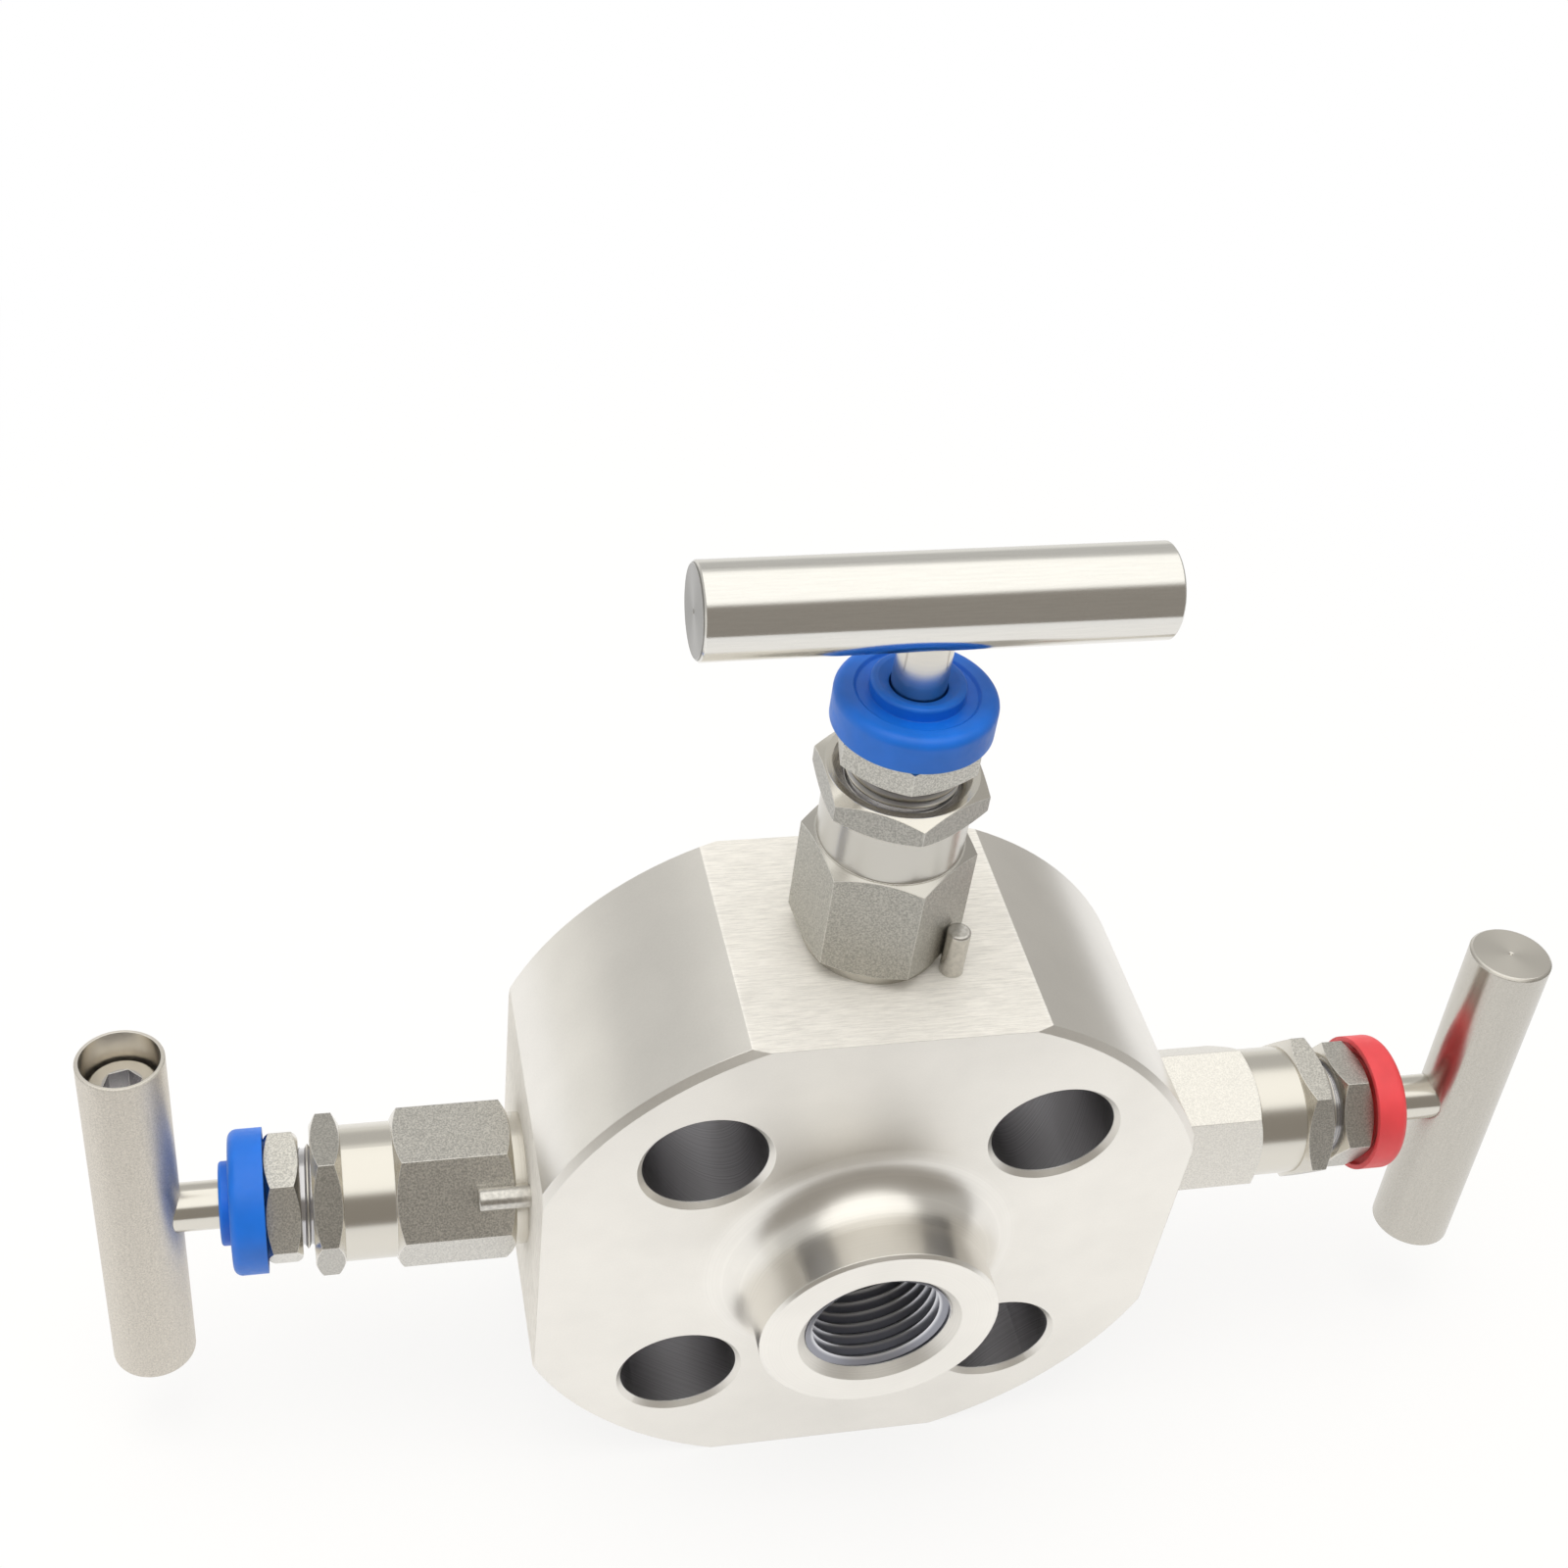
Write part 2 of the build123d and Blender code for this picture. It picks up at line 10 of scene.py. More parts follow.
import bmesh
import bpy
from bpy.props import FloatProperty, FloatVectorProperty, IntProperty, PointerProperty
from mathutils import Euler, Matrix, Vector


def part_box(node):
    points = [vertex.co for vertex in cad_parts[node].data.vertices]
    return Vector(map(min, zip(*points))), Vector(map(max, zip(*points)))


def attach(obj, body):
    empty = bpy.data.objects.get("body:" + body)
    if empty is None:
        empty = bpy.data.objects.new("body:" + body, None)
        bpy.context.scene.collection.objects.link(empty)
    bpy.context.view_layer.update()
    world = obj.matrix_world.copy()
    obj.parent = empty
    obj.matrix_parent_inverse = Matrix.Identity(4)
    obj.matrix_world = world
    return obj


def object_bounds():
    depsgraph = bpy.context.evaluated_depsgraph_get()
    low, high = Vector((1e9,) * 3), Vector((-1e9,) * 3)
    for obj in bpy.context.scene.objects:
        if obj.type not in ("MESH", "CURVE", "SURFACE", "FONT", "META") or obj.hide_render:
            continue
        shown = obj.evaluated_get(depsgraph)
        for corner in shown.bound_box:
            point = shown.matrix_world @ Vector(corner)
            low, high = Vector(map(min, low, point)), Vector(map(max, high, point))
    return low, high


bl_info = {
    "name": "Instrument manifold",
    "version": (1, 0, 0),
    "blender": (4, 5, 0),
    "location": "3D View > Sidebar > Manifold",
    "description": "Finishes, threads and a small studio for a flanged instrument manifold",
    "category": "Object",
}

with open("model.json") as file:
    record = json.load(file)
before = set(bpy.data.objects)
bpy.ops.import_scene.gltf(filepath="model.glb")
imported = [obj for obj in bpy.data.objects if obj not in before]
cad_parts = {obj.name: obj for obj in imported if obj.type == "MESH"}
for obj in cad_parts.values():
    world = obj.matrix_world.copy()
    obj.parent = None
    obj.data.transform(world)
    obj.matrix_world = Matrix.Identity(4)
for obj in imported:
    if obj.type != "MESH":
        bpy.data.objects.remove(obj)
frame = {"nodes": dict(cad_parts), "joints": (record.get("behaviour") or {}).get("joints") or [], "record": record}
CAD_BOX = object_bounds()

MM = 0.001
ROOT = "manifold"
VALVES = ("top", "left", "vent")
BENCH_RADIUS = 0.45
SHADE_RADIUS = 0.12                # the bench keeps its full shade within this
SHADE_LEVEL = 0.79                 # how much of that shade is a plain glow
FLOOR_GAP = 0.1 * MM               # so that the bench and the lowest flat don't share a plane

# Sizes of faces, as the solids have them
BOSS_LENGTH = 16 * MM
RIM_RADIUS = 65 * MM
OUTLET_REACH = 23 * MM             # how deep the outlet is drilled, from the boss's end
NECK_RADIUS = 12.5 * MM
CROWN_RADIUS = 10.25 * MM          # the gland nut's round top
GLAND_HEAD = 10.1 * MM             # the gland nut's hexagon and crown together
LOCK_NUT_SINK = 2 * MM             # the countersink in the lock nut's outer side
BAR_RADIUS = 7.75 * MM
SOCKET_RADIUS = 3.5 * MM           # round the clamp screw's hexagon socket

# Shape of a drawn thread
HALF_THREAD_ANGLE = math.radians(30)
CREST_SHARE = 1 / 8                # of the pitch
ROOT_SHARE = 0.97                  # of the pitch, at most
THREAD_SUNK = 0.05 * MM            # how far a thread's foot is sunk into the steel
THREAD_RUN_OUT = 0.4               # turns over which a thread fades in and out
SHARP_ANGLE = math.radians(35)     # corners that turn by more than this stay hard

# At rest the left handle leans 6 degrees from upright and the vent's handle 5 degrees.
LEAN = {"left": math.radians(6), "vent": math.radians(5)}
BAR_WAYS = {
    "top": Vector((1, 0, 0)),
    "left": Vector((0, math.sin(LEAN["left"]), math.cos(LEAN["left"]))),
    "vent": Vector((0, -math.sin(LEAN["vent"]), -math.cos(LEAN["vent"]))),
}


# --- Places worked out from the frame ---

def valve_place(valve):
    """A valve's own frame, its origin on the flat and its z axis along the stem, as a matrix."""
    joint = next(j for j in frame["joints"] if j["name"] == f"{valve}_handle_turn")
    turn = Vector(joint["axis"]).to_track_quat("Z", "Y")
    return Matrix.LocRotScale(Vector(joint["pos_m"]), turn, None)


PLACES = {valve: valve_place(valve) for valve in VALVES}
MOUNTS = {mount["name"]: mount["dims"] for mount in frame["record"]["mounts"]}
FLANGE_LOW, FLANGE_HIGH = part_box("flange_body")
FLANGE_PLACE = Matrix.LocRotScale(Vector((0, 0, 0)), Euler((math.radians(90), 0, 0)), None)
BOSS_FACE = -FLANGE_LOW.y          # from the sealing face to the boss's end
FLAT = FLANGE_HIGH.z               # from the flange's axis to a flat
HOLE_PLACE = MOUNTS["flange_bolts"]["pcd_mm"] / 2 * math.sqrt(0.5)
GROUND = CAD_BOX[0][2]


def top_of(valve, part):
    """How far the outer end of a valve's part lies from the flat, along the stem."""
    inverse = PLACES[valve].inverted()
    return max((inverse @ corner).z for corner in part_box(f"{valve}_{part}"))


def linear(code):
    """The linear colour of an sRGB hex code, as four numbers."""
    values = [int(code[i:i + 2], 16) / 255 for i in (1, 3, 5)]
    return (*[v / 12.92 if v <= 0.04045 else ((v + 0.055) / 1.055) ** 2.4 for v in values], 1.0)


# --- Sizes and colours that a user would change ---

def length(name, description, millimetres):
    """A length property, its default given in millimetres."""
    return FloatProperty(
        name=name, description=description, default=millimetres * MM, min=0, unit="LENGTH",
        subtype="DISTANCE")


def colour(name, description, code):
    """A colour property, its default given as an sRGB hex code."""
    return FloatVectorProperty(
        name=name, description=description, default=linear(code), size=4, min=0, max=1,
        subtype="COLOR")


class ManifoldSizes(bpy.types.PropertyGroup):
    # The pipe threads are drawn a little coarser than their standards, so that their turns show.
    outlet_pitch: length("Outlet pitch", "Pitch of the outlet's pipe thread", 2.3)
    outlet_ridge: length("Outlet ridge", "Height of the outlet's thread", 1.45)
    vent_pitch: length("Vent pitch", "Pitch of the vent port's pipe thread", 1.6)
    vent_ridge: length("Vent ridge", "Height of the vent port's thread", 1.0)
    mouth: length("Mouth chamfer", "Depth of the chamfer at both ports' mouths", 1.8)
    gland_pitch: length("Gland pitch", "Pitch of the gland nut's thread", 1.5)
    gland_root: length("Gland root", "Root radius of the gland nut's thread", 8.8)
    gland_crest: length("Gland crest", "Crest radius of the gland nut's thread", 9.5)
    edge: length("Edge", "Radius to which machined edges are broken", 0.22)
    grit: length("Grit", "Grain left by bead blasting, drawn coarse enough to show", 0.32)
    turning: length("Turning", "Feed of the turning marks", 0.3)
    serration: length("Serration", "Feed of the grooves in the sealing face", 0.8)
    thread_steps: IntProperty(
        name="Thread steps", description="Faces round one turn of a thread", default=72, min=12,
        max=256)


class ManifoldColours(bpy.types.PropertyGroup):
    forging: colour("Forging", "Machined stainless steel of the flange", "#F2EFE9")
    bar_stock: colour("Bar stock", "Turned stainless steel of bonnets and stems", "#DCD8CF")
    blasted: colour("Blasted", "Bead-blasted stainless steel", "#E9E6DF")
    # Painted shade: the bore colour is darker and a little bluish. It stands for the shade and the bluish
    # reflection down in holes, nut threads and sockets.
    bore: colour("Bore", "Drilled steel in holes, dulled by cutting oil", "#CAC9CB")
    crest: colour("Crest", "Clean steel on the crests of the ports' threads", "#DCDDE2")
    # Painted shade: the flank and tapped colours darken the ports' threads and the outlet's bore with a bluish
    # tint. They stand for the shade inside them.
    flank: colour("Flank", "Oily steel on the flanks of the ports' threads", "#9EA0AB")
    tapped: colour("Tapped", "Oily steel between the threads of the outlet", "#85878E")
    dowel: colour("Dowel", "Ground steel of the lock pins", "#D3D0CA")
    # Partly wear, partly a painted highlight: broken edges brighten to this colour.
    edge_wear_and_highlight: colour("Worn edge", "Bright steel on broken edges", "#F6F4EF")
    iron: colour("Soft iron", "Grey sealing rings", "#8D8B88")
    ptfe: colour("PTFE", "White packing rings", "#EFEDE6")
    blue: colour("Blue cap", "Blue polyethylene", "#1072E0")
    red: colour("Red cap", "Red polyethylene", "#E84A50")
    floor: colour("Floor", "Pale studio floor", "#F4F2EE")


def chosen(context):
    """The sizes and the colours that the user has chosen."""
    return context.scene.manifold_sizes, context.scene.manifold_colours


# --- Node and mesh helpers ---

# Settings of a Map Range node that passes smoothly from one value to the other
STEP = {"interpolation_type": "SMOOTHSTEP"}


def add(tree, kind, *values, named=None, **settings):
    """Adds a node. Values fill its inputs in order, and each is a number, a node or a socket."""
    node = tree.nodes.new(kind)
    for name, value in settings.items():
        setattr(node, name, value)
    inputs = [s for s in node.inputs if s.enabled]
    pairs = list(zip(inputs, values))
    for key, value in (named or {}).items():
        pairs.append((next(s for s in inputs if s.name == key), value))
    for socket, value in pairs:
        if isinstance(value, bpy.types.Node):
            value = next(s for s in value.outputs if s.enabled)
        if isinstance(value, bpy.types.NodeSocket):
            tree.links.new(value, socket)
        elif value is not None:
            socket.default_value = value
    return node


def new_material(name):
    """An empty node material, as its node tree and the material."""
    material = bpy.data.materials.new(name)
    material.use_nodes = True
    material.node_tree.nodes.clear()
    return material.node_tree, material


def finish_material(tree, **inputs):
    """Ends a tree in a Principled shader with those inputs, and gives the shader."""
    named = {}
    for key, value in inputs.items():
        named[key.replace("_", " ").title().replace("Ior", "IOR")] = value
    shader = add(tree, "ShaderNodeBsdfPrincipled", named=named)
    add(tree, "ShaderNodeOutputMaterial", shader)
    return shader


def dress(node, material):
    """Gives a CAD node a material in place of its plain one."""
    for slot in frame["nodes"][node].material_slots:
        slot.material = material


def evaluated_mesh(name, tree, values):
    """The plain mesh that a Geometry Nodes tree makes with those values of its named inputs."""
    obj = bpy.data.objects.new(name, bpy.data.meshes.new(name))
    bpy.context.scene.collection.objects.link(obj)
    modifier = obj.modifiers.new(name, "NODES")
    modifier.node_group = tree
    for item in tree.interface.items_tree:
        if item.in_out == "INPUT" and item.name in values:
            modifier[item.identifier] = values[item.name]
    depsgraph = bpy.context.evaluated_depsgraph_get()
    mesh = bpy.data.meshes.new_from_object(obj.evaluated_get(depsgraph), depsgraph=depsgraph)
    obj.modifiers.remove(modifier)
    obj.data = mesh
    return obj


def tidy_mesh(obj, place):
    """Moves a piece's mesh to its place, turns its faces outwards and keeps its corners sharp."""
    mesh = bmesh.new()
    mesh.from_mesh(obj.data)
    bmesh.ops.remove_doubles(mesh, verts=mesh.verts, dist=1e-6)
    mesh.transform(place)
    bmesh.ops.recalc_face_normals(mesh, faces=mesh.faces)
    if mesh.calc_volume(signed=True) < 0:
        # On a long thin coil the recalculation sometimes takes the inner side for the outer one.
        bmesh.ops.reverse_faces(mesh, faces=mesh.faces)
    for edge in mesh.edges:
        edge.smooth = edge.is_manifold and edge.calc_face_angle(0) < SHARP_ANGLE
    for face in mesh.faces:
        face.smooth = True
    mesh.to_mesh(obj.data)
    mesh.free()


# --- Parts of materials ---

def in_millimetres(tree, place):
    """Object coordinates in a piece's own frame, in millimetres."""
    position = add(tree, "ShaderNodeTexCoord").outputs["Object"]
    return add(
        tree, "ShaderNodeMapping", position, place.to_translation(), place.to_euler(), (MM, MM, MM),
        vector_type="TEXTURE")


def lathe(tree, place):
    """What a turned surface needs: height, radius and the direction round the axis."""
    local = in_millimetres(tree, place)
    parts = add(tree, "ShaderNodeSeparateXYZ", local)
    flat = add(tree, "ShaderNodeVectorMath", local, (1, 1, 0), operation="MULTIPLY")
    radius = add(tree, "ShaderNodeVectorMath", flat, operation="LENGTH").outputs["Value"]
    axis = place.to_quaternion() @ Vector((0, 0, 1))
    position = add(tree, "ShaderNodeTexCoord").outputs["Object"]
    arm = add(tree, "ShaderNodeVectorMath", position, place.to_translation(), operation="SUBTRACT")
    round_way = add(tree, "ShaderNodeVectorMath", axis, arm, operation="CROSS_PRODUCT")
    way = add(
        tree, "ShaderNodeVectorTransform", round_way, vector_type="VECTOR", convert_from="OBJECT",
        convert_to="WORLD")
    return {"local": local, "height": parts.outputs["Z"], "radius": radius, "way": way}


def worn_and_highlit(tree, base, rounded, colours):
    """A base colour that brightens where broken edges turn: partly wear, partly a painted highlight."""
    plain = add(tree, "ShaderNodeNewGeometry").outputs["Normal"]
    alike = add(tree, "ShaderNodeVectorMath", rounded, plain, operation="DOT_PRODUCT")
    turning = add(tree, "ShaderNodeMapRange", alike.outputs["Value"], 0.995, 0.90, **STEP)
    return add(tree, "ShaderNodeMix", turning, base, colours.edge_wear_and_highlight, data_type="RGBA")


def shaded(tree, tone, level):
    """A colour made darker or lighter by a level, where 1 leaves it as it is."""
    grey = add(tree, "ShaderNodeCombineColor", level, level, level)
    return add(tree, "ShaderNodeMix", 1.0, tone, grey, data_type="RGBA", blend_type="MULTIPLY")


def clouded(tree, place, tone, scale, detail, low, high):
    """A colour with soft clouds between two levels, and the clouds' own pattern."""
    local = in_millimetres(tree, place)
    cloud = add(tree, "ShaderNodeTexNoise", local, named={"Scale": scale, "Detail": detail})
    level = add(tree, "ShaderNodeMapRange", cloud, 0.35, 0.65, low, high)
    return shaded(tree, tone, level), cloud


def blasting(tree, turned, sizes, spread, pits):
    """The dimples that bead blasting leaves, and how dark they are, from a level in the pits to 1."""
    beads = add(
        tree, "ShaderNodeTexNoise", turned["local"],
        named={"Scale": MM / sizes.grit, "Detail": 3.0, "Roughness": 0.7})
    return beads, add(tree, "ShaderNodeMapRange", beads, 0.5 - spread, 0.5 + spread, pits, 1.0)


def layered(tree, ground, faces, layers):
    """A value for each kind of face, laid over the value that the rest of the piece has."""
    for face, value in layers:
        ground = add(tree, "ShaderNodeMix", faces[face], ground, value, data_type="FLOAT")
    return ground


def marks(tree, turned, sizes):
    """Fine rings that a lathe tool leaves along a piece and across its ends."""
    travel = add(tree, "ShaderNodeMath", turned["height"], turned["radius"], operation="ADD")
    turns = add(tree, "ShaderNodeMath", travel, MM / sizes.turning, operation="MULTIPLY")
    return add(
        tree, "ShaderNodeTexNoise", noise_dimensions="1D",
        named={"W": turns, "Scale": 1.0, "Detail": 3.0, "Roughness": 0.6})


def finish_turned(tree, turned, base, rough, bump, stretch=0.5, shine=1.0):
    """Ends a metal's tree. Its marks run round the axis and stretch the highlights across them."""
    finish_material(
        tree, base_color=base, metallic=shine, roughness=rough, normal=bump, anisotropic=stretch,
        anisotropic_rotation=0.25, tangent=turned["way"])


# --- Materials ---

def flange_faces(tree, turned, sizes):
    """Where each kind of face of the flange lies: 1 on it and 0 elsewhere."""
    radius, height = turned["radius"], turned["height"]
    parts = add(tree, "ShaderNodeSeparateXYZ", turned["local"])
    across_x = add(tree, "ShaderNodeMath", parts.outputs["X"], operation="ABSOLUTE")
    across_y = add(tree, "ShaderNodeMath", parts.outputs["Y"], operation="ABSOLUTE")
    across = add(tree, "ShaderNodeMath", across_x, across_y, operation="MAXIMUM")
    flat = FLAT / MM
    rim = RIM_RADIUS / MM
    front = (BOSS_FACE - BOSS_LENGTH) / MM
    hole = MOUNTS["flange_bolts"]["hole_r_mm"]
    corner = add(tree, "ShaderNodeCombineXYZ", across_x, across_y, 0.0)
    from_hole = add(
        tree, "ShaderNodeVectorMath", corner, (HOLE_PLACE, HOLE_PLACE, 0),
        operation="DISTANCE").outputs["Value"]
    outlet = MOUNTS["outlet_port"]["r_mm"]
    outlet_end = (BOSS_FACE - OUTLET_REACH) / MM
    mouth = outlet + sizes.mouth / MM
    edges = {
        "flat": (across, flat - 0.08, flat - 0.02),
        "upright": (across_x, flat - 0.08, flat - 0.02),
        "rim": (radius, rim - 0.2, rim - 0.1),
        "boss": (height, front + 0.02, front + 0.5),
        "seal": (height, 0.1, 0.02),
        "mouth": (radius, mouth + 0.1, mouth + 0.02),
        "hole": (from_hole, hole + 0.1, hole + 0.02),
        "outlet_width": (radius, outlet + 0.1, outlet + 0.02),
        "outlet_length": (height, outlet_end - 1, outlet_end),
    }
    on = {face: add(tree, "ShaderNodeMapRange", *edge, **STEP) for face, edge in edges.items()}
    on["outlet"] = add(
        tree, "ShaderNodeMath", on["outlet_width"], on["outlet_length"], operation="MULTIPLY")
    on["bore"] = add(tree, "ShaderNodeMath", on["hole"], on["outlet"], operation="MAXIMUM")
    return on


def forged_stainless(colours, sizes):
    """Forged and machined 316 stainless. Each face shows how it was cut: the front is satin turned,
    the flats are milled along their length, the rim and the boss are turned bright, the sealing face
    has its spiral groove, and the holes are drilled, with painted shade in them."""
    tree, material = new_material("forged_stainless")
    turned = lathe(tree, FLANGE_PLACE)
    local = turned["local"]
    rounded = add(tree, "ShaderNodeBevel", sizes.edge, samples=6)
    on = flange_faces(tree, turned, sizes)

    # Milling leaves fine lines several millimetres long. They run along the flat.
    lengthwise = add(tree, "ShaderNodeMapping", local, (0, 0, 0), (0, 0, 0), (0.07, 1.0, 1.0))
    crosswise = add(tree, "ShaderNodeMapping", local, (0, 0, 0), (0, 0, 0), (1.0, 0.07, 1.0))
    milling = add(tree, "ShaderNodeMix", on["upright"], lengthwise, crosswise, data_type="VECTOR")
    milled = add(
        tree, "ShaderNodeTexNoise", milling, named={"Scale": 2.6, "Detail": 5.0, "Roughness": 0.8})
    patches = add(tree, "ShaderNodeTexNoise", local, named={"Scale": 0.06, "Detail": 3.0})
    grain = add(
        tree, "ShaderNodeTexNoise", local, named={"Scale": 2.5, "Detail": 3.0, "Roughness": 0.6})
    rings = marks(tree, turned, sizes)

    milled_tone = add(tree, "ShaderNodeMapRange", milled, 0.36, 0.60, 0.86, 1.08)
    satin_tone = add(tree, "ShaderNodeMapRange", grain, 0.35, 0.65, 0.985, 1.01)
    ring_tone = add(tree, "ShaderNodeMapRange", rings, 0.3, 0.7, 0.97, 1.02)
    patch_tone = add(tree, "ShaderNodeMapRange", patches, 0.35, 0.65, 0.97, 1.02)
    tone = layered(tree, satin_tone, on, (("flat", milled_tone), ("boss", ring_tone)))
    tone = add(tree, "ShaderNodeMath", tone, patch_tone, operation="MULTIPLY")
    base = shaded(tree, colours.forging, tone)
    # Painted shade in the holes: the bore colour in them, and the darker tapped colour in the outlet.
    drill_tone = add(tree, "ShaderNodeMapRange", rings, 0.3, 0.7, 0.82, 1.08)
    drilled = add(tree, "ShaderNodeMix", on["outlet"], colours.bore, colours.tapped, data_type="RGBA")
    drilled = shaded(tree, drilled, drill_tone)
    base = add(tree, "ShaderNodeMix", on["bore"], base, drilled, data_type="RGBA")
    base = worn_and_highlit(tree, base, rounded, colours)

    # Milled lines throw light about so widely that the flats look half matt.
    shine = add(tree, "ShaderNodeMapRange", on["flat"], 0.0, 1.0, 1.0, 0.35)
    satin_rough = add(tree, "ShaderNodeMapRange", grain, 0.3, 0.7, 0.38, 0.44)
    milled_rough = add(tree, "ShaderNodeMapRange", milled, 0.3, 0.7, 0.72, 0.60)
    rough = layered(tree, satin_rough, on, (
        ("flat", milled_rough), ("rim", 0.30), ("boss", 0.30), ("mouth", 0.5), ("bore", 0.34)))
    relief = layered(
        tree, grain, on, (("flat", milled), ("boss", rings), ("rim", rings), ("bore", rings)))
    groove = add(
        tree, "ShaderNodeMath", turned["radius"], MM / sizes.serration, operation="MULTIPLY")
    serrated = add(tree, "ShaderNodeMath", groove, 0.5, operation="PINGPONG")
    bump = add(tree, "ShaderNodeBump", 0.35, 0.00002, named={"Height": relief, "Normal": rounded})
    bump = add(tree, "ShaderNodeBump", on["seal"], 0.0003, named={"Height": serrated, "Normal": bump})

    # Highlights stretch across the milled lines on the flats, and across the rings elsewhere.
    ways = [add(
        tree, "ShaderNodeVectorTransform", Vector(way), vector_type="VECTOR", convert_from="OBJECT",
        convert_to="WORLD") for way in ((1, 0, 0), (0, 0, 1))]
    on_way = add(tree, "ShaderNodeMix", on["upright"], *ways, data_type="VECTOR")
    turned["way"] = add(
        tree, "ShaderNodeMix", on["flat"], turned["way"], on_way, data_type="VECTOR")
    finish_turned(tree, turned, base, rough, bump, shine=shine)
    return material


def blasted_flats(
        tree, valve, turned, colours, sizes, clear, pits, tone, bright, polish, stretch):
    """Ends a hexagonal piece's tree: bead-blasted on the flats, where they lie clear of a radius, and
    turned bright elsewhere. Clear and polish each give the value for bright and for blasted."""
    axis = PLACES[valve].to_quaternion() @ Vector((0, 0, 1))
    normal = add(tree, "ShaderNodeTexCoord").outputs["Normal"]
    along = add(tree, "ShaderNodeVectorMath", normal, axis, operation="DOT_PRODUCT")
    tilt = add(tree, "ShaderNodeMath", along.outputs["Value"], operation="ABSOLUTE")
    upright = add(tree, "ShaderNodeMapRange", tilt, 0.05, 0.02, **STEP)
    outside = add(tree, "ShaderNodeMapRange", turned["radius"], *clear, **STEP)
    blasted = add(tree, "ShaderNodeMath", upright, outside, operation="MULTIPLY")
    rounded = add(tree, "ShaderNodeBevel", sizes.edge, samples=6)
    beads, speckle = blasting(tree, turned, sizes, 0.10, pits)
    rings = marks(tree, turned, sizes)
    flat_tone = shaded(tree, tone, speckle)
    base = add(tree, "ShaderNodeMix", blasted, bright, flat_tone, data_type="RGBA")
    base = worn_and_highlit(tree, base, rounded, colours)
    rough = add(tree, "ShaderNodeMix", blasted, *polish, data_type="FLOAT")
    relief = add(tree, "ShaderNodeMix", blasted, rings, beads, data_type="FLOAT")
    depth = add(tree, "ShaderNodeMix", blasted, 0.3, 0.6, data_type="FLOAT")
    bump = add(tree, "ShaderNodeBump", depth, 0.00003, named={"Height": relief, "Normal": rounded})
    finish_turned(tree, turned, base, rough, bump, stretch)


def bonnet_stainless(valve, colours, sizes, pits, tone, neck):
    """Hexagon bar stock: bead-blasted flats, bright turned chamfers and a polished neck."""
    tree, material = new_material(f"{valve}_bonnet_stainless")
    turned = lathe(tree, PLACES[valve])
    side = NECK_RADIUS / MM
    clear = (side + 0.2, side + 0.3)
    blasted_flats(
        tree, valve, turned, colours, sizes, clear, pits, tone, neck, (0.24, 0.45), 0.5)
    return material


def nut_stainless(valve, name, colours, sizes, tone):
    """Nuts that were blasted whole and then had their chamfers turned bright. Down in their threads
    the steel takes the bore colour, which is painted shade."""
    tree, material = new_material(f"{valve}_{name}_stainless")
    turned = lathe(tree, PLACES[valve])
    crest = sizes.gland_crest / MM
    # Painted shade: down in the thread the steel takes the bore colour.
    in_thread = add(tree, "ShaderNodeMapRange", turned["radius"], crest + 0.4, crest + 0.1, **STEP)
    bright = add(
        tree, "ShaderNodeMix", in_thread, colours.bar_stock, colours.bore, data_type="RGBA")
    crown = CROWN_RADIUS / MM
    clear = (crown + 0.15, crown + 0.35)
    blasted_flats(
        tree, valve, turned, colours, sizes, clear, 0.64, tone, bright, (0.2, 0.42), 0.4)
    return material


def thread_stainless(name, place, sizes, crest_radius, height, tone, root_shade):
    """Cut threads: bright on the crests, with painted shade down between them, where the steel also
    gives up part of its mirror."""
    tree, material = new_material(name)
    turned = lathe(tree, place)
    rings = marks(tree, turned, sizes)
    from_crest = add(
        tree, "ShaderNodeMath", turned["radius"], crest_radius / MM, operation="SUBTRACT")
    depth = add(tree, "ShaderNodeMath", from_crest, operation="ABSOLUTE")
    down = add(tree, "ShaderNodeMapRange", depth, height / MM * 0.06, height / MM * 0.45, **STEP)
    # Painted shade: the colour darkens from the crests down between the ridges.
    base = add(tree, "ShaderNodeMix", down, tone, root_shade, data_type="RGBA")
    shine = add(tree, "ShaderNodeMapRange", down, 0.0, 1.0, 1.0, 0.6)
    bump = add(tree, "ShaderNodeBump", 0.2, 0.00002, named={"Height": rings})
    finish_material(tree, base_color=base, metallic=shine, roughness=0.3, normal=bump)
    return material


def ground_stainless(valve, colours, sizes):
    """Centreless-ground stem: bright, with marks too fine to see apart."""
    tree, material = new_material(f"{valve}_ground_stainless")
    turned = lathe(tree, PLACES[valve])
    rounded = add(tree, "ShaderNodeBevel", sizes.edge, samples=6)
    rings = marks(tree, turned, sizes)
    base = worn_and_highlit(tree, colours.bar_stock, rounded, colours)
    rough = add(tree, "ShaderNodeMapRange", rings, 0.3, 0.7, 0.17, 0.21)
    bump = add(tree, "ShaderNodeBump", 0.04, 0.00002, named={"Height": rings, "Normal": rounded})
    finish_turned(tree, turned, base, rough, bump)
    return material


def bar_place(valve):
    """The handle bar's own frame: its z axis runs along the bar, towards the clamp screw."""
    low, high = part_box(f"{valve}_tee_bar")
    return Matrix.LocRotScale((low + high) / 2, BAR_WAYS[valve].to_track_quat("Z", "Y"), None)


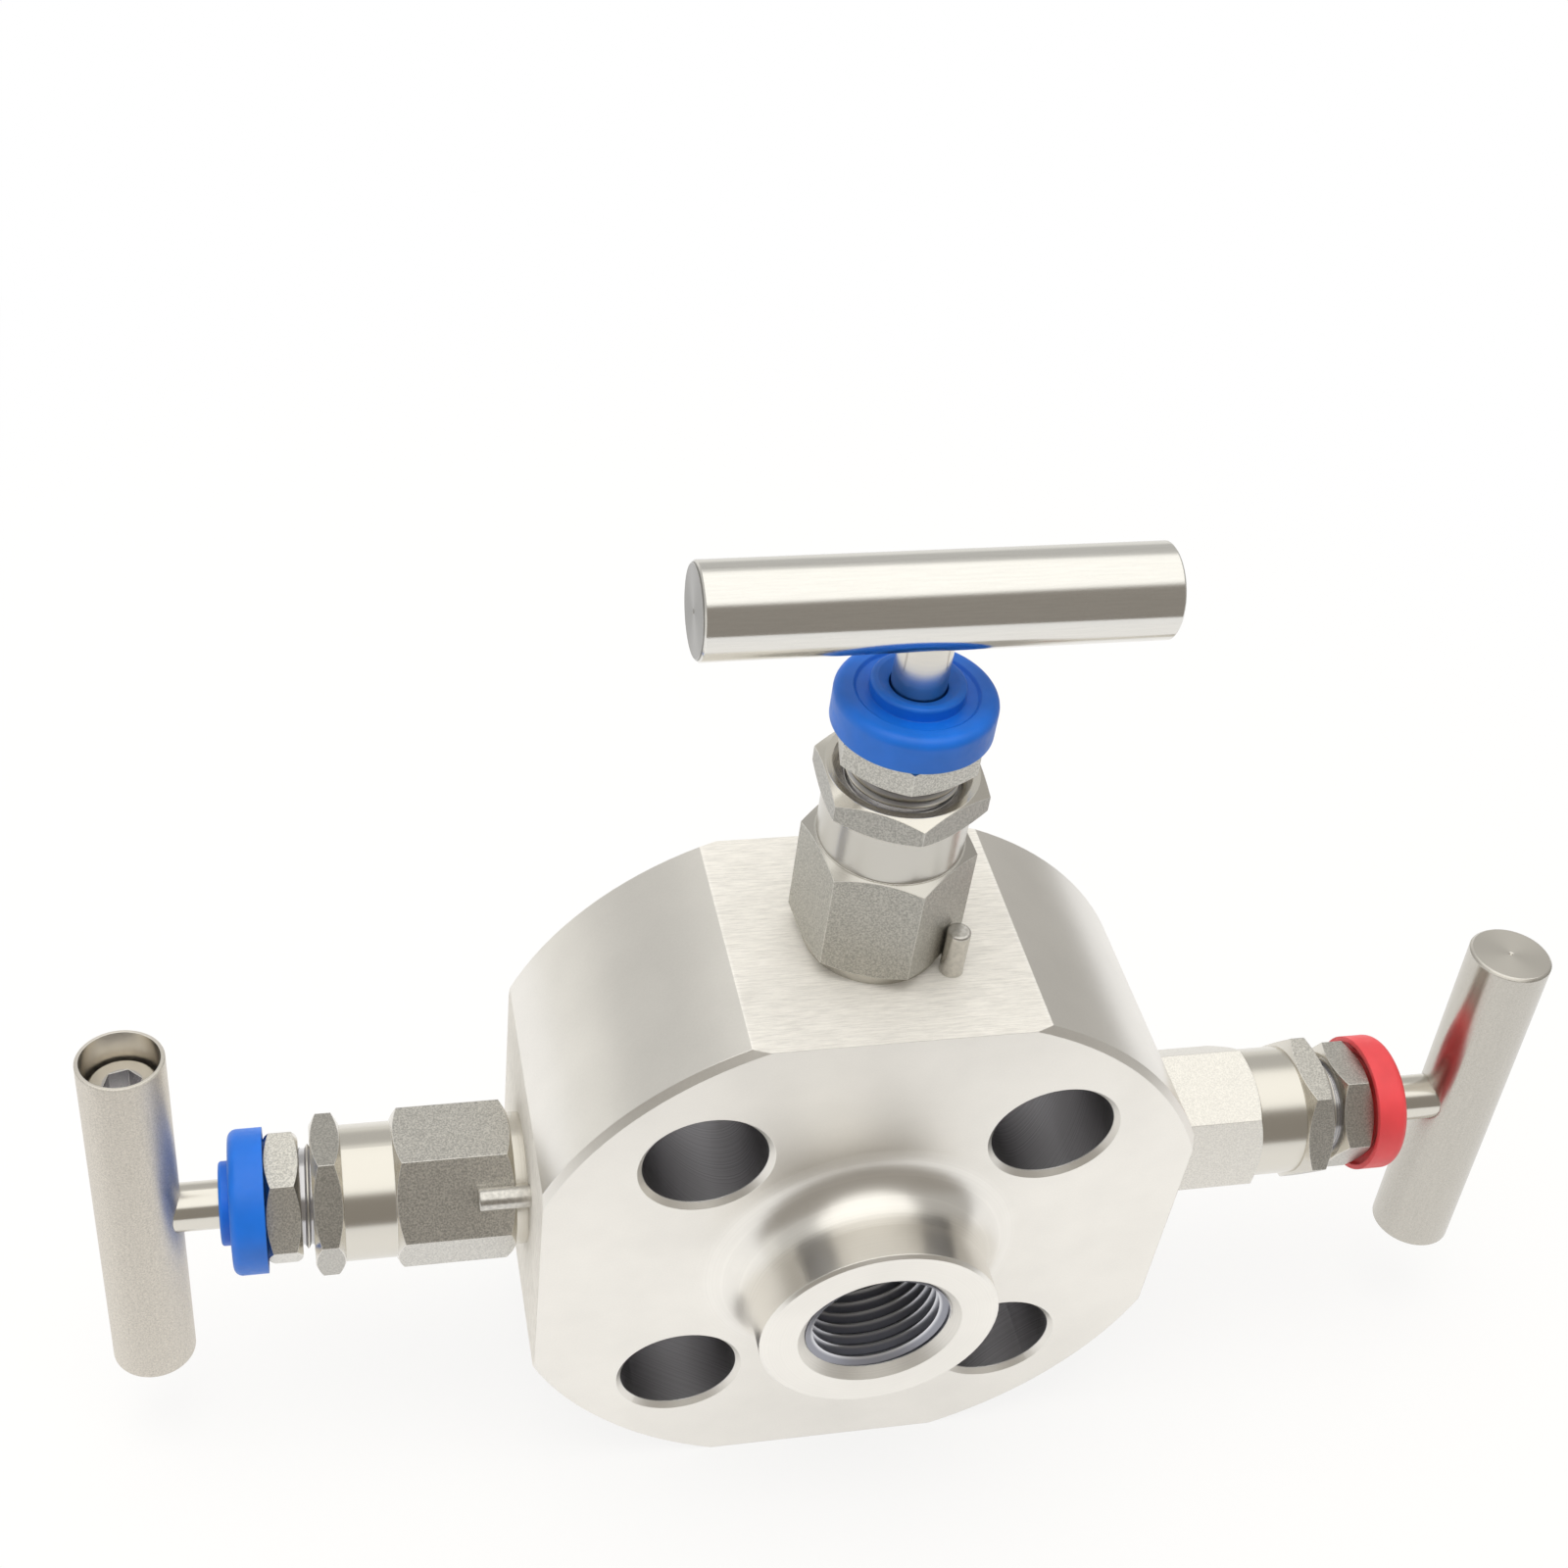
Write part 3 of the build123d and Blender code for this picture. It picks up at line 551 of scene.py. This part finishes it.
def bar_stainless(valve, colours, sizes, roughness, grain_depth, end_light_and_shade, tone):
    """Round bar for a handle: ground or blasted outside, turned across its ends."""
    tree, material = new_material(f"{valve}_bar_stainless")
    turned = lathe(tree, bar_place(valve))
    rounded = add(tree, "ShaderNodeBevel", sizes.edge, samples=6)
    beads, speckle = blasting(tree, turned, sizes, 0.15, 1.0 - grain_depth)
    streaks = add(
        tree, "ShaderNodeMapping", turned["local"], (0, 0, 0), (0, 0, 0), (1.0, 1.0, 0.05))
    drawn = add(
        tree, "ShaderNodeTexNoise", streaks, named={"Scale": 3.0, "Detail": 3.0, "Roughness": 0.6})
    rings = marks(tree, turned, sizes)
    side = BAR_RADIUS / MM
    on_end = add(tree, "ShaderNodeMapRange", turned["radius"], side - 0.2, side - 0.35, **STEP)
    streak = add(tree, "ShaderNodeMapRange", drawn, 0.35, 0.65, 0.96, 1.0)
    shade = add(tree, "ShaderNodeMath", speckle, streak, operation="MULTIPLY")
    # Painted light and shade: each bar's ends get their own level, darker on the top bar and lighter on the
    # vent's.
    shade = add(tree, "ShaderNodeMix", on_end, shade, end_light_and_shade, data_type="FLOAT")
    base = worn_and_highlit(tree, shaded(tree, tone, shade), rounded, colours)
    rough = add(tree, "ShaderNodeMix", on_end, roughness, 0.28, data_type="FLOAT")
    relief = add(tree, "ShaderNodeMix", on_end, beads, rings, data_type="FLOAT")
    bump = add(
        tree, "ShaderNodeBump", 0.2 + grain_depth, 0.00002,
        named={"Height": relief, "Normal": rounded})
    finish_turned(tree, turned, base, rough, bump, 0.6)
    return material


def pin_steel(valve, colours, sizes):
    """Hardened dowel: ground sides and a slightly duller dome, though this material gives both the same sheen."""
    tree, material = new_material(f"{valve}_dowel_steel")
    rounded = add(tree, "ShaderNodeBevel", sizes.edge, samples=6)
    base, cloud = clouded(tree, PLACES[valve], colours.dowel, 1.2, 4.0, 0.85, 1.05)
    bump = add(tree, "ShaderNodeBump", 0.3, 0.00003, named={"Height": cloud, "Normal": rounded})
    finish_material(tree, base_color=base, metallic=1.0, roughness=0.27, normal=bump)
    return material


def screw_stainless(valve, colours, sizes):
    """Socket-head screw, turned and washed, its socket darkened to the bore colour as painted shade."""
    tree, material = new_material(f"{valve}_screw_stainless")
    turned = lathe(tree, bar_place(valve))
    rounded = add(tree, "ShaderNodeBevel", sizes.edge, samples=6)
    rings = marks(tree, turned, sizes)
    socket = SOCKET_RADIUS / MM
    # Painted shade: the socket takes the darker bore colour.
    in_socket = add(tree, "ShaderNodeMapRange", turned["radius"], socket + 0.1, socket - 0.1, **STEP)
    base = add(tree, "ShaderNodeMix", in_socket, colours.bar_stock, colours.bore, data_type="RGBA")
    base = worn_and_highlit(tree, base, rounded, colours)
    bump = add(tree, "ShaderNodeBump", 0.3, 0.00002, named={"Height": rings, "Normal": rounded})
    finish_turned(tree, turned, base, 0.24, bump)
    return material


def soft_iron(colours):
    """Annealed iron sealing ring: dull grey with a mottled skin."""
    tree, material = new_material("soft_iron")
    base, cloud = clouded(tree, Matrix.Identity(4), colours.iron, 1.5, 4.0, 0.8, 1.1)
    bump = add(tree, "ShaderNodeBump", 0.4, 0.00003, named={"Height": cloud})
    finish_material(tree, base_color=base, metallic=1.0, roughness=0.5, normal=bump)
    return material


def white_ptfe(colours):
    """Moulded and pressed PTFE: waxy white, faintly clouded."""
    tree, material = new_material("white_ptfe")
    base, cloud = clouded(tree, Matrix.Identity(4), colours.ptfe, 0.8, 3.0, 0.95, 1.0)
    bump = add(tree, "ShaderNodeBump", 0.2, 0.00003, named={"Height": cloud})
    finish_material(tree, base_color=base, roughness=0.42, ior=1.35, normal=bump)
    return material


def moulded_polyethylene(name, tone, sizes):
    """Injection-moulded polyethylene: soft sheen, a waxy depth and a faint orange peel."""
    tree, material = new_material(name)
    rounded = add(tree, "ShaderNodeBevel", sizes.edge * 1.5, samples=6)
    base, flow = clouded(tree, Matrix.Identity(4), tone, 0.12, 2.0, 0.92, 1.08)
    local = in_millimetres(tree, Matrix.Identity(4))
    peel = add(tree, "ShaderNodeTexNoise", local, named={"Scale": 0.9, "Detail": 3.0})
    rough = add(tree, "ShaderNodeMapRange", peel, 0.3, 0.7, 0.38, 0.5)
    bump = add(tree, "ShaderNodeBump", 0.25, 0.00004, named={"Height": peel, "Normal": rounded})
    shader = finish_material(
        tree, base_color=base, roughness=rough, ior=1.51, normal=bump, subsurface_weight=0.12,
        subsurface_scale=0.002)
    shader.inputs["Subsurface Radius"].default_value = (1.0, 0.7, 0.7)
    return material


# --- Threads ---

def thread_tree():
    """A ridge of a screw thread that winds up the z axis and fades out at both ends."""
    tree = bpy.data.node_groups.new("thread_ridge", "GeometryNodeTree")
    for kind, names in {
            "NodeSocketInt": ("Steps",),
            "NodeSocketFloat": (
                "Turns", "Pitch", "Radius", "Height", "Root width", "Crest width", "Outwards",
                "Run-out"),
            "NodeSocketMaterial": ("Material",)}.items():
        for name in names:
            tree.interface.new_socket(name=name, in_out="INPUT", socket_type=kind)
    tree.interface.new_socket(name="Geometry", in_out="OUTPUT", socket_type="NodeSocketGeometry")
    given = add(tree, "NodeGroupInput").outputs
    rise = add(tree, "ShaderNodeMath", given["Pitch"], given["Turns"], operation="MULTIPLY")
    helix = add(
        tree, "GeometryNodeCurveSpiral", given["Steps"], given["Turns"], given["Radius"],
        given["Radius"], rise, False)
    upright = add(tree, "GeometryNodeSetCurveNormal", helix, mode="Z_UP")
    outline = add(
        tree, "GeometryNodeCurvePrimitiveQuadrilateral", mode="TRAPEZOID",
        named={"Height": given["Height"], "Bottom Width": given["Root width"],
               "Top Width": given["Crest width"], "Offset": 0.0})
    half = add(tree, "ShaderNodeMath", given["Height"], 0.5, operation="MULTIPLY")
    lift = add(tree, "ShaderNodeCombineXYZ", 0.0, half, 0.0)
    based = add(tree, "GeometryNodeTransform", outline, named={"Translation": lift})
    swing = add(tree, "ShaderNodeMath", given["Outwards"], math.pi / 2, operation="MULTIPLY")
    turn = add(tree, "ShaderNodeCombineXYZ", 0.0, 0.0, swing)
    aimed = add(tree, "GeometryNodeTransform", based, named={"Rotation": turn})
    factor = add(tree, "GeometryNodeSplineParameter").outputs["Factor"]
    left = add(tree, "ShaderNodeMath", 1.0, factor, operation="SUBTRACT")
    nearest = add(tree, "ShaderNodeMath", factor, left, operation="MINIMUM")
    turned = add(tree, "ShaderNodeMath", nearest, given["Turns"], operation="MULTIPLY")
    fade = add(tree, "ShaderNodeMath", turned, given["Run-out"], operation="DIVIDE", use_clamp=True)
    fade = add(tree, "ShaderNodeMath", fade, 0.05, operation="MAXIMUM")
    ridge = add(tree, "GeometryNodeCurveToMesh", upright, aimed, fade, True)
    real = add(tree, "GeometryNodeRealizeInstances", ridge)
    painted = add(tree, "GeometryNodeSetMaterial", real, named={"Material": given["Material"]})
    add(tree, "NodeGroupOutput", painted)
    return tree


def thread(name, place, sizes, tone, root_shade, pitch, root, crest, start, end):
    """One thread between two depths, standing inwards or outwards from its root radius."""
    ridge = abs(root - crest)
    height = ridge + THREAD_SUNK
    outwards = 1.0 if crest > root else -1.0
    crest_width = pitch * CREST_SHARE
    root_width = crest_width + 2 * height * math.tan(HALF_THREAD_ANGLE)
    tree = bpy.data.node_groups.get("thread_ridge") or thread_tree()
    obj = evaluated_mesh(name, tree, {
        "Steps": sizes.thread_steps,
        "Turns": (end - start) / pitch,
        "Pitch": pitch,
        "Radius": root - outwards * THREAD_SUNK,
        "Height": height,
        "Root width": min(root_width, pitch * ROOT_SHARE),
        "Crest width": crest_width,
        "Outwards": outwards,
        "Run-out": THREAD_RUN_OUT,
        "Material": thread_stainless(f"{name}_steel", place, sizes, crest, ridge, tone, root_shade),
    })
    tidy_mesh(obj, place @ Matrix.Translation((0, 0, start)))
    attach(obj, ROOT)


# --- Operators ---

class MANIFOLD_OT_flange(bpy.types.Operator):
    """Finish the forged flange block"""
    bl_idname = "manifold.flange"
    bl_label = "Flange finish"

    def execute(self, context):
        sizes, colours = chosen(context)
        dress("flange_body", forged_stainless(colours, sizes))
        return {"FINISHED"}


class MANIFOLD_OT_port_threads(bpy.types.Operator):
    """Cut the pipe threads of the outlet and the vent port"""
    bl_idname = "manifold.port_threads"
    bl_label = "Port threads"

    def execute(self, context):
        sizes, colours = chosen(context)
        boss_end = Matrix.Translation((0, 0, BOSS_FACE)) @ Matrix.Rotation(math.pi, 4, "X")
        outlet = FLANGE_PLACE @ boss_end
        vent = Matrix.Translation((0, PLACES["top"].to_translation().y, FLANGE_LOW.z))
        start = sizes.mouth * 0.7
        for name, mount, place, pitch, ridge in (
                ("outlet_thread", "outlet_port", outlet, sizes.outlet_pitch, sizes.outlet_ridge),
                ("vent_port_thread", "vent_port", vent, sizes.vent_pitch, sizes.vent_ridge)):
            bore = MOUNTS[mount]["r_mm"] * MM
            end = sizes.mouth + MOUNTS[mount]["length_mm"] * MM
            thread(name, place, sizes, colours.crest, colours.flank, pitch, bore, bore - ridge,
                   start, end)
        return {"FINISHED"}


class MANIFOLD_OT_bonnets(bpy.types.Operator):
    """Finish bonnets, lock pins and the seals under the bonnets"""
    bl_idname = "manifold.bonnets"
    bl_label = "Bonnet finish"

    def execute(self, context):
        sizes, colours = chosen(context)
        iron = soft_iron(colours)
        # Each bonnet has its own tone, set for where it stands: the top one's darker tone and neck are
        # painted shade, and the vent's lighter tone and fainter pits are painted light.
        looks = {
            "top": {"pits": 0.64, "tone": linear("#CDCBC4"), "neck": linear("#CAC7C0")},
            "left": {"pits": 0.60, "tone": colours.blasted, "neck": colours.bar_stock},
            "vent": {"pits": 0.84, "tone": linear("#F6F3EC"), "neck": colours.bar_stock},
        }
        for valve, look in looks.items():
            dress(f"{valve}_bonnet", bonnet_stainless(valve, colours, sizes, **look))
            dress(f"{valve}_lock_pin", pin_steel(valve, colours, sizes))
            dress(f"{valve}_bonnet_seal", iron)
        return {"FINISHED"}


class MANIFOLD_OT_nuts(bpy.types.Operator):
    """Finish lock nuts and gland nuts, and cut the gland nuts' threads"""
    bl_idname = "manifold.nuts"
    bl_label = "Nuts"

    def execute(self, context):
        sizes, colours = chosen(context)
        tones = {
            "top": {"lock_nut": "#C6C4BE", "gland_nut": "#E0DED7"},
            "left": {"lock_nut": "#CFCCC5", "gland_nut": "#EFECE4"},
            "vent": {"lock_nut": "#D6D3CC", "gland_nut": "#D6D3CC"},
        }
        for valve in VALVES:
            for part, tone in tones[valve].items():
                dress(f"{valve}_{part}", nut_stainless(valve, part, colours, sizes, linear(tone)))
            start = top_of(valve, "lock_nut") - LOCK_NUT_SINK
            end = top_of(valve, "gland_nut") - GLAND_HEAD
            thread(f"{valve}_gland_thread", PLACES[valve], sizes, colours.bar_stock, colours.bore,
                   sizes.gland_pitch, sizes.gland_root, sizes.gland_crest, start, end)
        return {"FINISHED"}


class MANIFOLD_OT_stems(bpy.types.Operator):
    """Finish stems, needles and the packing set inside"""
    bl_idname = "manifold.stems"
    bl_label = "Stems and packing"

    def execute(self, context):
        sizes, colours = chosen(context)
        ptfe = white_ptfe(colours)
        for valve in VALVES:
            steel = ground_stainless(valve, colours, sizes)
            for part in ("stem", "needle", "packing_washer", "gland_ring"):
                dress(f"{valve}_{part}", steel)
            dress(f"{valve}_packing", ptfe)
        return {"FINISHED"}


class MANIFOLD_OT_caps(bpy.types.Operator):
    """Finish the moulded dust caps"""
    bl_idname = "manifold.caps"
    bl_label = "Dust caps"

    def execute(self, context):
        sizes, colours = chosen(context)
        blue = moulded_polyethylene("blue_polyethylene", colours.blue, sizes)
        red = moulded_polyethylene("red_polyethylene", colours.red, sizes)
        for valve in VALVES:
            dress(f"{valve}_dust_cap", red if valve == "vent" else blue)
        return {"FINISHED"}


class MANIFOLD_OT_handles(bpy.types.Operator):
    """Finish the handle bars and their clamp screws"""
    bl_idname = "manifold.handles"
    bl_label = "Handles"

    def execute(self, context):
        sizes, colours = chosen(context)
        # The top bar is polished, the left one blasted and the vent's only brushed.
        tones = {"top": "#E6E4DF", "left": "#EFE9DF", "vent": "#CFCBC3"}
        # The ends' levels are painted shade on the top bar's ends and painted light on the vent's.
        looks = {
            "top": {"roughness": 0.16, "grain_depth": 0.03, "end_light_and_shade": 0.34},
            "left": {"roughness": 0.48, "grain_depth": 0.24, "end_light_and_shade": 1.0},
            "vent": {"roughness": 0.25, "grain_depth": 0.14, "end_light_and_shade": 1.12},
        }
        for valve, look in looks.items():
            steel = bar_stainless(valve, colours, sizes, tone=linear(tones[valve]), **look)
            dress(f"{valve}_tee_bar", steel)
            dress(f"{valve}_clamp_screw", screw_stainless(valve, colours, sizes))
        return {"FINISHED"}


class MANIFOLD_OT_stage(bpy.types.Operator):
    """Set up the floor, the soft light and the camera"""
    bl_idname = "manifold.stage"
    bl_label = "Studio"

    def execute(self, context):
        make_floor(chosen(context)[1])
        make_world()
        make_lamps()
        make_camera()
        context.scene.view_settings.view_transform = "Standard"
        return {"FINISHED"}


# --- Studio ---

def seen_directly(tree):
    """1 for rays from the camera and for their reflections and refractions, 0 for the rest."""
    path = add(tree, "ShaderNodeLightPath")
    seen = add(
        tree, "ShaderNodeMath", path.outputs["Is Camera Ray"], path.outputs["Is Glossy Ray"],
        operation="MAXIMUM")
    return add(
        tree, "ShaderNodeMath", seen, path.outputs["Is Transmission Ray"], operation="MAXIMUM")


def make_floor(colours):
    """A pale round bench top under the lowest flat. It fades to white towards its edge, and beyond
    that edge metal mirrors the room."""
    mesh = bmesh.new()
    bmesh.ops.create_circle(mesh, cap_ends=True, segments=96, radius=BENCH_RADIUS)
    mesh.transform(Matrix.Translation((0, 0, GROUND - FLOOR_GAP)))
    floor = bpy.data.objects.new("floor", bpy.data.meshes.new("floor"))
    mesh.to_mesh(floor.data)
    mesh.free()
    bpy.context.scene.collection.objects.link(floor)
    tree, material = new_material("pale_floor")
    place = add(tree, "ShaderNodeTexCoord").outputs["Object"]
    flat = add(tree, "ShaderNodeVectorMath", place, (1, 1, 0), operation="MULTIPLY")
    out = add(tree, "ShaderNodeVectorMath", flat, operation="LENGTH").outputs["Value"]
    near = add(
        tree, "ShaderNodeMapRange", out, SHADE_RADIUS, BENCH_RADIUS, SHADE_LEVEL, 1.0, **STEP)
    matt = add(tree, "ShaderNodeBsdfDiffuse", colours.floor, 0.0)
    glow = add(tree, "ShaderNodeEmission", (1, 1, 1, 1), 1.0)
    share = add(tree, "ShaderNodeMath", seen_directly(tree), near, operation="MULTIPLY")
    mixed = add(tree, "ShaderNodeMixShader", share, matt, glow)
    add(tree, "ShaderNodeOutputMaterial", mixed)
    floor.data.materials.append(material)


def make_world():
    """White all round for the camera. For the rest it is a studio: a bright ceiling, greyer walls,
    and a dark room ahead of the bench, where the camera stands."""
    world = bpy.data.worlds.new("studio")
    bpy.context.scene.world = world
    world.use_nodes = True
    tree = world.node_tree
    tree.nodes.clear()
    direction = add(tree, "ShaderNodeTexCoord").outputs["Generated"]
    parts = add(tree, "ShaderNodeSeparateXYZ", direction)
    wall = add(tree, "ShaderNodeMapRange", parts.outputs["Z"], 0.02, 0.22, **STEP)
    right = add(tree, "ShaderNodeMapRange", parts.outputs["X"], 0.45, 0.70, **STEP)
    ahead = add(tree, "ShaderNodeMapRange", parts.outputs["Y"], -0.42, -0.58, **STEP)
    ceiling = add(tree, "ShaderNodeMapRange", parts.outputs["Z"], 0.64, 0.79, **STEP)
    tone = linear("#EFEEEA")
    for side, code in (
            (wall, "#CAC9C6"), (right, "#B7B5B1"), (ahead, "#97928B"), (ceiling, "#FFFEFA")):
        tone = add(tree, "ShaderNodeMix", side, tone, linear(code), data_type="RGBA")
    level = add(tree, "ShaderNodeMix", ceiling, 1.0, 1.32, data_type="FLOAT")
    seen = add(tree, "ShaderNodeLightPath").outputs["Is Camera Ray"]
    tone = add(tree, "ShaderNodeMix", seen, tone, (1, 1, 1, 1), data_type="RGBA")
    level = add(tree, "ShaderNodeMix", seen, level, 1.0, data_type="FLOAT")
    light = add(tree, "ShaderNodeBackground", tone, level)
    add(tree, "ShaderNodeOutputWorld", light)


def make_lamps():
    """A large soft box above and a weaker one at the left. Metal mirrors neither, only the room."""
    centre = (Vector(CAD_BOX[0]) + Vector(CAD_BOX[1])) / 2
    for name, place, size, watts in (
            ("top_box", (-0.15, -0.1, 1.0), 0.7, 4.0), ("side_box", (-0.9, -0.35, 0.45), 0.5, 0.3)):
        data = bpy.data.lights.new(name, "AREA")
        data.shape = "SQUARE"
        data.size = size
        data.energy = watts
        data.color = linear("#FFFDF8")[:3]
        lamp = bpy.data.objects.new(name, data)
        way = (centre - Vector(place)).to_track_quat("-Z", "Y")
        lamp.matrix_world = Matrix.LocRotScale(Vector(place), way, None)
        lamp.visible_glossy = False
        bpy.context.scene.collection.objects.link(lamp)


def make_camera():
    """The camera looks down on the manifold from the front left."""
    data = bpy.data.cameras.new("camera")
    data.lens = 49.603
    data.sensor_width = 36.0
    data.shift_x = 0.075
    camera = bpy.data.objects.new("camera", data)
    camera.location = (-0.09899, -0.28436, 0.32621)
    camera.rotation_euler = [math.radians(angle) for angle in (48.402, -4.19, -9.672)]
    bpy.context.scene.collection.objects.link(camera)
    bpy.context.scene.camera = camera


# --- Panel and registration ---

OPERATORS = (
    MANIFOLD_OT_flange, MANIFOLD_OT_port_threads, MANIFOLD_OT_bonnets, MANIFOLD_OT_nuts,
    MANIFOLD_OT_stems, MANIFOLD_OT_caps, MANIFOLD_OT_handles, MANIFOLD_OT_stage)


class MANIFOLD_PT_panel(bpy.types.Panel):
    """Lists the sizes, the colours and the steps"""
    bl_label = "Instrument manifold"
    bl_idname = "MANIFOLD_PT_panel"
    bl_space_type = "VIEW_3D"
    bl_region_type = "UI"
    bl_category = "Manifold"

    def draw(self, context):
        layout = self.layout
        for group in (context.scene.manifold_sizes, context.scene.manifold_colours):
            for name in group.__annotations__:
                layout.prop(group, name)
        for operator in OPERATORS:
            layout.operator(operator.bl_idname)


CLASSES = (ManifoldSizes, ManifoldColours, *OPERATORS, MANIFOLD_PT_panel)


def register():
    for item in CLASSES:
        bpy.utils.register_class(item)
    bpy.types.Scene.manifold_sizes = PointerProperty(type=ManifoldSizes)
    bpy.types.Scene.manifold_colours = PointerProperty(type=ManifoldColours)


def unregister():
    del bpy.types.Scene.manifold_colours
    del bpy.types.Scene.manifold_sizes
    for item in reversed(CLASSES):
        bpy.utils.unregister_class(item)


def main():
    """Runs every step in order."""
    register()
    for operator in OPERATORS:
        group, name = operator.bl_idname.split(".")
        getattr(getattr(bpy.ops, group), name)()


if __name__ == "__main__":
    main()
